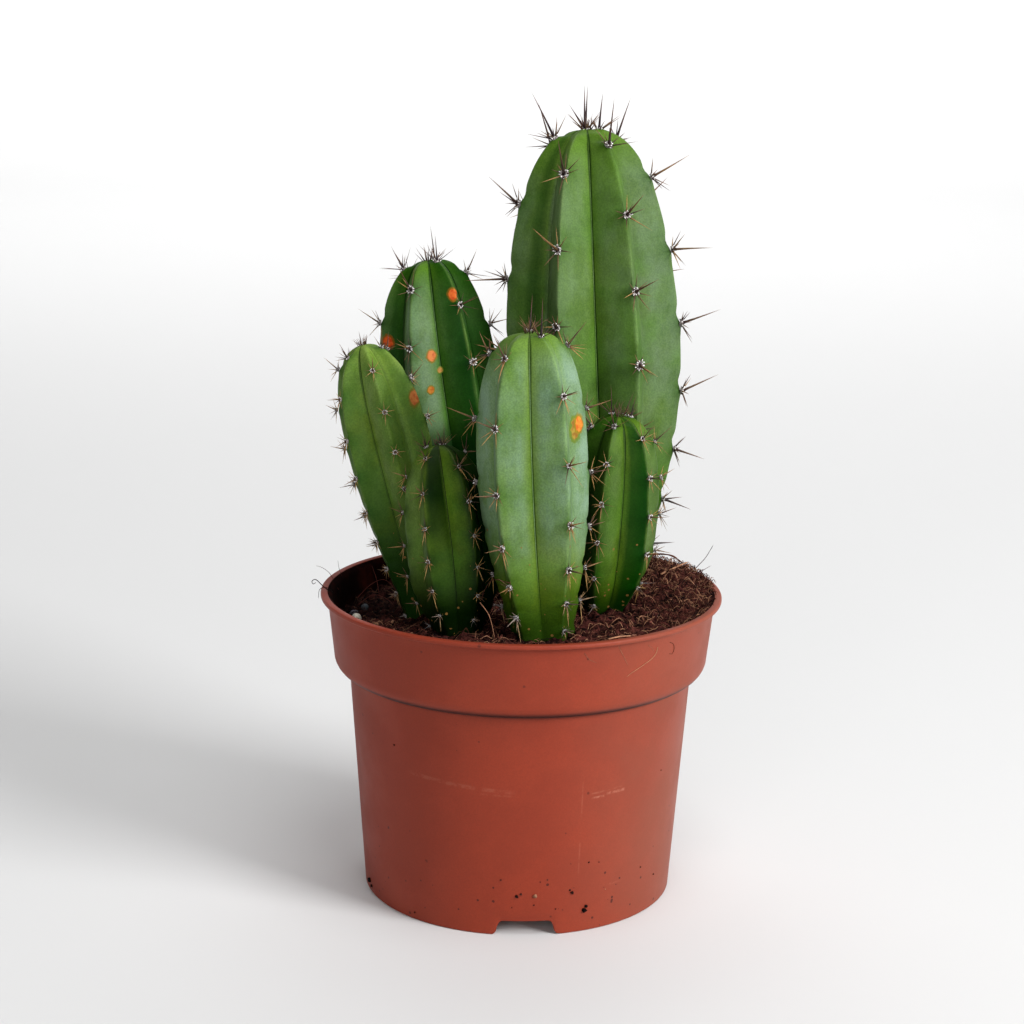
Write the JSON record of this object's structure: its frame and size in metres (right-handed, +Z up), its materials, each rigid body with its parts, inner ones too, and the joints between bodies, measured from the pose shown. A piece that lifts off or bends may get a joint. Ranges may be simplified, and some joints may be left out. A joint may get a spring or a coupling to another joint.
{
  "type": "potted tall cactus",
  "caption": "Clump of ribbed columnar cactus stems with spines, standing in peaty soil in a round lipped plastic nursery pot.",
  "frame": {"origin": "centre of the pot's foot, on the surface that it stands on", "axes": "+Z up; the pot's front, where the low stems stand, faces -Y; the tallest stem is at the back right, towards +X and +Y"},
  "size_m": [0.1201, 0.1205, 0.2366],
  "materials": {
    "pot_plastic": "terracotta coloured moulded plastic, satin, lightly scuffed",
    "peat": "dark brown fibrous peat, dull",
    "stem_mid_green": "waxy mid green skin with a blue-grey bloom",
    "stem_dark_green": "waxy dark green skin, satin",
    "stem_yellow_green": "waxy yellow-green skin, satin",
    "stem_pale_green": "waxy pale green skin with a blue bloom",
    "pebble_pale": "rough, pale",
    "pebble_dark": "rough, grey"
  },
  "bodies": {
    "root": {"pot": "pot_plastic", "soil": "peat", "stem_tall": "stem_mid_green", "stem_back": "stem_dark_green", "stem_left": "stem_yellow_green", "stem_front": "stem_pale_green", "stem_low": "stem_dark_green", "stem_right": "stem_mid_green", "pebble_white": "pebble_pale", "pebble_grey_1": "pebble_dark", "pebble_grey_2": "pebble_dark"}
  },
  "joints": []
}
